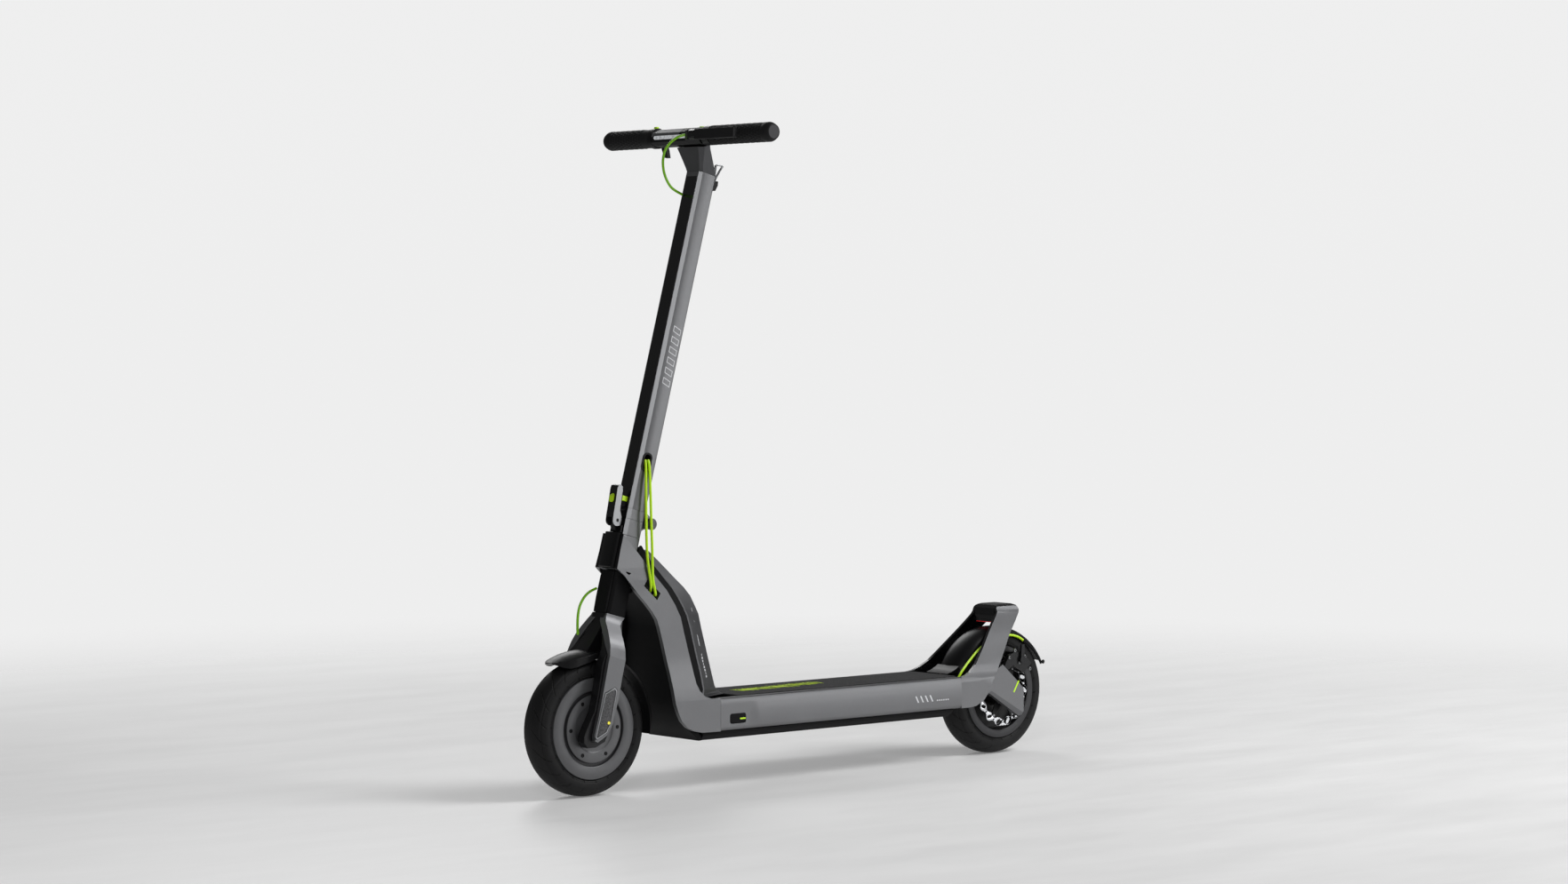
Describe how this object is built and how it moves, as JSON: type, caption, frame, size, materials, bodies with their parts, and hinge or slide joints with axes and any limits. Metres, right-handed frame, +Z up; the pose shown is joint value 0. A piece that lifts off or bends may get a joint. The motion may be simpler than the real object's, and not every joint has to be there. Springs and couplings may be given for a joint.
{
  "type": "electric kick scooter",
  "caption": "Folding electric kick scooter with a low deck, leaning stem, straight handlebar, hub-motor front wheel, disc-braked rear wheel and an arched rear frame.",
  "frame": {"origin": "on the ground, on the centre plane, midway between the foremost and rearmost points", "axes": "+X forward, +Y to the rider's left, +Z up"},
  "size_m": [1.12, 0.414, 1.0639],
  "materials": {
    "graphite": "satin metallic",
    "graphite_dark": "satin",
    "satin_black": "satin",
    "gloss_black": "gloss",
    "rubber": "matte textured",
    "tyre": "matte",
    "hub_metal": "satin painted",
    "disc_steel": "brushed",
    "steel": "satin",
    "bar_alloy": "satin",
    "core_alloy": "satin black",
    "neon_cable": "satin",
    "red_lens": "gloss",
    "clear_lens": "gloss",
    "grip_tape": "matte rough"
  },
  "bodies": {
    "frame": {"neck_casting": "graphite", "head_nose": "satin_black", "channel_liner": "satin_black", "spine_cover": "graphite_dark", "front_panel": "satin_black", "deck_rail_left": "graphite", "deck_rail_right": "graphite", "charge_socket": "satin_black", "deck_board": "satin_black", "grip_mat": "grip_tape", "deck_pan": "satin_black", "battery_pack": "satin_black", "stand_bracket": "satin_black", "hoop_left": "graphite", "hoop_right": "graphite", "hoop_bridge": "gloss_black", "rear_fender": "satin_black", "tail_light": "red_lens", "rear_axle": "steel", "caliper_body": "satin_black", "rear_cable": "neon_cable"},
    "fork": {"fork_column": "graphite", "fork_crown": "graphite", "fork_fascia": "satin_black", "fork_shell_left": "graphite", "fork_shell_right": "graphite", "fork_leg_left": "core_alloy", "fork_leg_right": "core_alloy", "front_mudguard": "satin_black", "front_axle": "steel", "motor_cable": "neon_cable"},
    "stem": {"latch_tab": "neon_cable", "stem_foot": "graphite", "stem_tube": "graphite", "stem_strip": "gloss_black", "stem_neck": "gloss_black", "handlebar": "bar_alloy", "grip_left": "rubber", "grip_right": "rubber", "bar_housing": "satin_black", "headlight_lens": "clear_lens", "display_screen": "gloss_black", "brake_perch": "core_alloy", "fold_pin": "steel", "bar_cable": "neon_cable", "strand_front": "neon_cable", "strand_back": "neon_cable"},
    "front_wheel": {"front_tyre": "tyre", "front_hub": "hub_metal"},
    "rear_wheel": {"rear_tyre": "tyre", "rear_hub": "hub_metal", "brake_disc": "disc_steel"},
    "brake_lever": {"brake_lever": "core_alloy"},
    "caliper_arm": {"caliper_arm": "disc_steel"},
    "throttle": {"throttle_paddle": "satin_black"},
    "latch": {"latch_lever": "core_alloy", "latch_button": "neon_cable"},
    "hook": {"stem_hook": "disc_steel"},
    "port_cap": {"charge_cap": "graphite_dark"},
    "kickstand": {"kickstand_leg": "core_alloy"}
  },
  "joints": [
    {"name": "steering", "type": "hinge", "parent": "frame", "child": "fork", "pos_m": [0.37609, 0, 0.3782], "axis": [-0.2622, 0, 0.965], "range_deg": [-45, 45]},
    {"name": "stem_fold", "type": "hinge", "parent": "fork", "child": "stem", "pos_m": [0.33316, 0, 0.42561], "axis": [0, -1, 0], "range_deg": [0, 100], "deforming": ["strand_front", "strand_back"]},
    {"name": "front_wheel_spin", "type": "hinge", "parent": "fork", "child": "front_wheel", "pos_m": [0.452, 0, 0.108], "axis": [0, 1, 0], "continuous": true},
    {"name": "rear_wheel_spin", "type": "hinge", "parent": "frame", "child": "rear_wheel", "pos_m": [-0.447, 0, 0.108], "axis": [0, 1, 0], "continuous": true},
    {"name": "brake_squeeze", "type": "hinge", "parent": "stem", "child": "brake_lever", "pos_m": [0.2694, 0.05, 1.0449], "axis": [0, 0, 1], "range_deg": [0, 9.5], "stiffness_Nm_per_rad": 1.2, "springref_deg": -17.19},
    {"name": "caliper_pull", "type": "hinge", "parent": "frame", "child": "caliper_arm", "pos_m": [-0.479, 0.048, 0.16343], "axis": [0, 1, 0], "range_deg": [0, 12]},
    {"name": "throttle_press", "type": "hinge", "parent": "stem", "child": "throttle", "pos_m": [0.2364, -0.082, 1.0449], "axis": [0, -1, 0], "range_deg": [0, 30], "stiffness_Nm_per_rad": 0.4, "springref_deg": -17.19},
    {"name": "latch_swing", "type": "hinge", "parent": "fork", "child": "latch", "pos_m": [0.39112, 0, 0.43348], "axis": [0, 1, 0], "range_deg": [0, 80]},
    {"name": "hook_swing", "type": "hinge", "parent": "stem", "child": "hook", "pos_m": [0.18468, 0, 0.97438], "axis": [0, -1, 0], "range_deg": [0, 60]},
    {"name": "port_open", "type": "hinge", "parent": "frame", "child": "port_cap", "pos_m": [0.192, 0.0705, 0.1022], "axis": [-1, 0, 0], "range_deg": [0, 95]},
    {"name": "stand_swing", "type": "hinge", "parent": "frame", "child": "kickstand", "pos_m": [0.04, -0.07, 0.084], "axis": [0, -1, 0], "range_deg": [0, 95]}
  ],
  "couplings": [
    {"joint": "caliper_pull", "follows": "brake_squeeze", "ratio": 1.2}
  ]
}
